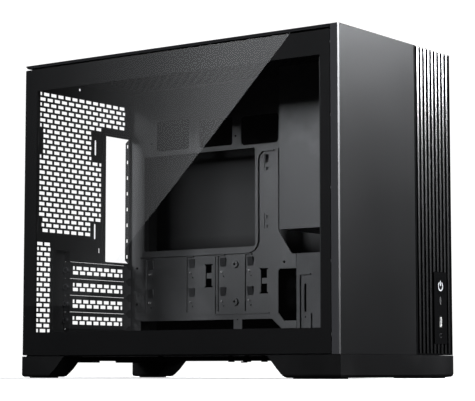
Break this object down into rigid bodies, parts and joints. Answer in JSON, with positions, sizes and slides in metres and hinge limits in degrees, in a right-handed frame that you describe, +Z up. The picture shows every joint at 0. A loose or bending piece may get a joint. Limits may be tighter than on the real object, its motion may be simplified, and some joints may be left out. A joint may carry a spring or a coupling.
{
  "type": "computer case",
  "caption": "Small desktop tower case, empty, with a clear side window, ribbed front corner, brick-pattern vents, card slots, feet, and a power button beside its front ports.",
  "frame": {"origin": "centre of the case's outer box, on the floor the feet stand on", "axes": "+Z up; -Y out of the ribbed front; -X out of the glass side; +Y towards the rear wall with the card slots"},
  "size_m": [0.2356, 0.4508, 0.3705],
  "materials": {
    "black_steel": "satin",
    "front_black": "satin",
    "black_plastic": "matte",
    "black_rubber": "matte",
    "black_screws": "semi-gloss",
    "steel_studs": "satin",
    "bright_contacts": "polished",
    "port_plastic": "gloss",
    "circuit_board": "gloss",
    "tinted_glass": "polished",
    "filter_mesh": "woven",
    "light_guide": "frosted"
  },
  "bodies": {
    "chassis": {"rear_wall": "black_steel", "slot_cover_1": "black_steel", "slot_cover_2": "black_steel", "slot_cover_3": "black_steel", "slot_cover_4": "black_steel", "slot_screws": "black_screws", "power_inlet": "black_plastic", "inlet_contacts": "bright_contacts", "inlet_screws": "black_screws", "board_tray": "black_steel", "cable_shelf": "black_steel", "floor_panel": "black_steel", "roof_panel": "black_steel", "front_wall": "black_steel", "psu_cage": "black_steel", "psu_shelf": "black_steel", "front_foot": "black_plastic", "rear_foot_left": "black_plastic", "rear_foot_right": "black_plastic", "front_foot_pads": "black_rubber", "rear_foot_pads": "black_rubber", "left_sockets": "black_plastic", "right_sockets": "black_plastic", "top_rails": "black_plastic", "floor_filter_runners": "black_plastic", "rear_rivets": "black_screws", "psu_shelf_screws": "black_screws", "tray_pins": "steel_studs"},
    "glass_side": {"glass_panel": "tinted_glass", "glass_studs": "steel_studs"},
    "far_side": {"right_panel": "black_steel", "right_studs": "steel_studs"},
    "front_cover": {"front_panel": "front_black", "front_panel_clips": "black_plastic", "front_panel_catches": "black_plastic", "port_plate": "black_plastic", "button_switch": "black_plastic", "port_board": "circuit_board", "usb_c_port": "bright_contacts", "usb_a_port": "bright_contacts", "audio_jack": "port_plastic"},
    "button": {"power_button": "black_plastic", "button_light_guide": "light_guide"},
    "top_lid": {"top_cover": "black_steel", "top_cover_studs": "steel_studs", "top_filter_frame": "black_plastic", "top_filter_mesh": "filter_mesh"},
    "floor_filter": {"floor_filter_frame": "black_plastic", "floor_filter_mesh": "filter_mesh"}
  },
  "joints": [
    {"name": "glass_panel_off", "type": "slide", "parent": "chassis", "child": "glass_side", "axis": [-1, 0, 0], "range_m": [0, 0.15]},
    {"name": "far_panel_off", "type": "slide", "parent": "chassis", "child": "far_side", "axis": [1, 0, 0], "range_m": [0, 0.15]},
    {"name": "front_cover_off", "type": "slide", "parent": "chassis", "child": "front_cover", "axis": [0, -1, 0], "range_m": [0, 0.12]},
    {"name": "power_button_press", "type": "slide", "parent": "front_cover", "child": "button", "axis": [0, 1, 0], "range_m": [0, 0.001], "stiffness_N_per_m": 600, "springref_m": -0.0005},
    {"name": "top_cover_off", "type": "slide", "parent": "chassis", "child": "top_lid", "axis": [0, 0, 1], "range_m": [0, 0.12]},
    {"name": "floor_filter_out", "type": "slide", "parent": "chassis", "child": "floor_filter", "axis": [0, 1, 0], "range_m": [0, 0.34]}
  ]
}
